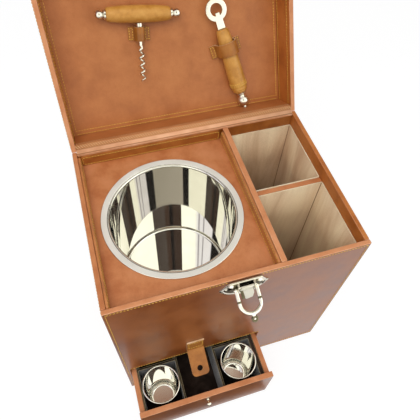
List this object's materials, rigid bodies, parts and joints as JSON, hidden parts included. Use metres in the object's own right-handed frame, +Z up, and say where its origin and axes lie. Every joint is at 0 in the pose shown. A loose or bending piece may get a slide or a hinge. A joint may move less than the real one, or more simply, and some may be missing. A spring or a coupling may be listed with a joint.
{
  "type": "travel bar case",
  "caption": "Leather travel bar case with a hinged lid, lift-out ice bucket, two bottle compartments, a cup drawer, bar tools held in the lid and a metal bail latch.",
  "frame": {"origin": "centre of the flat underside, where the case stands", "axes": "+Z up, +X to the right seen from the front, +Y to the back, where the lid is hinged"},
  "size_m": [0.33, 0.4789, 0.5407],
  "materials": {
    "body_leather": "tan hide over board, semi-matt",
    "front_leather": "dark brown hide over board, polished",
    "lining_leather": "tan hide lining, mottled, semi-matt",
    "trim_leather": "brown hide strip, stitched",
    "gusset_leather": "pale soft hide",
    "strap_leather": "golden brown hide with pale cut edges",
    "tool_leather": "golden hide wrap, stitched",
    "handle_leather": "brown hide wrap",
    "suede": "suede, matt",
    "cell_lining": "dark velvet, matt",
    "bucket_steel": "mirror polished steel",
    "cup_steel": "polished steel",
    "tool_steel": "polished steel",
    "nickel": "nickel plate, polished"
  },
  "bodies": {
    "case": {"base_board": "body_leather", "front_panel": "front_leather", "back_panel": "body_leather", "left_panel": "body_leather", "right_panel": "body_leather", "centre_divider": "body_leather", "cross_divider": "body_leather", "front_bottle_liner": "suede", "rear_bottle_liner": "suede", "drawer_bay_shelf": "body_leather", "bucket_tray": "lining_leather", "well_strip_left": "trim_leather", "well_strip_back": "trim_leather", "well_strip_divider": "trim_leather", "body_gusset": "gusset_leather", "strap_sewn_end": "strap_leather", "latch_plate": "nickel", "latch_housing": "nickel", "latch_pin": "nickel"},
    "lid": {"lid_top_board": "body_leather", "lid_front_wall": "front_leather", "lid_back_wall": "body_leather", "lid_left_wall": "body_leather", "lid_right_wall": "body_leather", "lid_lining": "lining_leather", "lid_back_strip": "lining_leather", "lid_gusset": "gusset_leather", "lid_catch": "nickel", "corkscrew_loop": "strap_leather", "opener_loop": "strap_leather", "handle_mount_left": "nickel", "handle_mount_right": "nickel"},
    "drawer": {"drawer_front": "front_leather", "drawer_bottom": "cell_lining", "drawer_left_side": "body_leather", "drawer_right_side": "body_leather", "drawer_back": "body_leather", "cup_cells": "cell_lining", "drawer_stud": "nickel", "cup_rear_left": "cup_steel", "cup_rear_right": "cup_steel"},
    "ice_bucket": {"ice_bucket": "bucket_steel"},
    "cup_front_left": {"cup_front_left": "cup_steel"},
    "cup_front_right": {"cup_front_right": "cup_steel"},
    "strap": {"strap_tail": "strap_leather"},
    "latch_lever": {"latch_lever": "nickel"},
    "latch_bail": {"latch_bail": "nickel"},
    "corkscrew": {"corkscrew_grip": "tool_leather", "corkscrew_cap_left": "tool_steel", "corkscrew_cap_right": "tool_steel", "corkscrew_worm": "tool_steel"},
    "opener": {"opener_grip": "tool_leather", "opener_finial": "tool_steel", "opener_head": "tool_steel"},
    "handle": {"handle_bail": "nickel", "handle_grip": "handle_leather"}
  },
  "joints": [
    {"name": "lid_hinge", "type": "hinge", "parent": "case", "child": "lid", "pos_m": [0, 0.119, 0.327], "axis": [1, 0, 0], "range_deg": [0, 118.6]},
    {"name": "drawer_slide", "type": "slide", "parent": "case", "child": "drawer", "axis": [0, 1, 0], "range_m": [-0.075, 0.0703]},
    {"name": "ice_bucket_lift", "type": "slide", "parent": "case", "child": "ice_bucket", "axis": [0, 0, -1], "range_m": [-0.19, 0]},
    {"name": "cup_front_left_lift", "type": "slide", "parent": "drawer", "child": "cup_front_left", "axis": [0, 0, -1], "range_m": [-0.08, 0]},
    {"name": "cup_front_right_lift", "type": "slide", "parent": "drawer", "child": "cup_front_right", "axis": [0, 0, -1], "range_m": [-0.08, 0]},
    {"name": "strap_fold", "type": "hinge", "parent": "case", "child": "strap", "pos_m": [-0.0571, -0.12055, 0.118], "axis": [1, 0, 0], "range_deg": [-75, 65]},
    {"name": "latch_lever_turn", "type": "hinge", "parent": "case", "child": "latch_lever", "pos_m": [0, -0.1262, 0.312], "axis": [1, 0, 0], "range_deg": [-15, 62]},
    {"name": "latch_bail_turn", "type": "hinge", "parent": "case", "child": "latch_bail", "pos_m": [0, -0.1262, 0.312], "axis": [-1, 0, 0], "range_deg": [-66, 110.5]},
    {"name": "corkscrew_slide", "type": "slide", "parent": "lid", "child": "corkscrew", "axis": [0.0958, 0.4765, 0.8739], "range_m": [0, 0.061]},
    {"name": "opener_slide", "type": "slide", "parent": "lid", "child": "opener", "axis": [-0.2267, 0.4662, 0.8551], "range_m": [0, 0.065]},
    {"name": "handle_turn", "type": "hinge", "parent": "lid", "child": "handle", "pos_m": [0, 0.23145, 0.40123], "axis": [1, 0, 0], "range_deg": [-28.6, 151.4]}
  ]
}
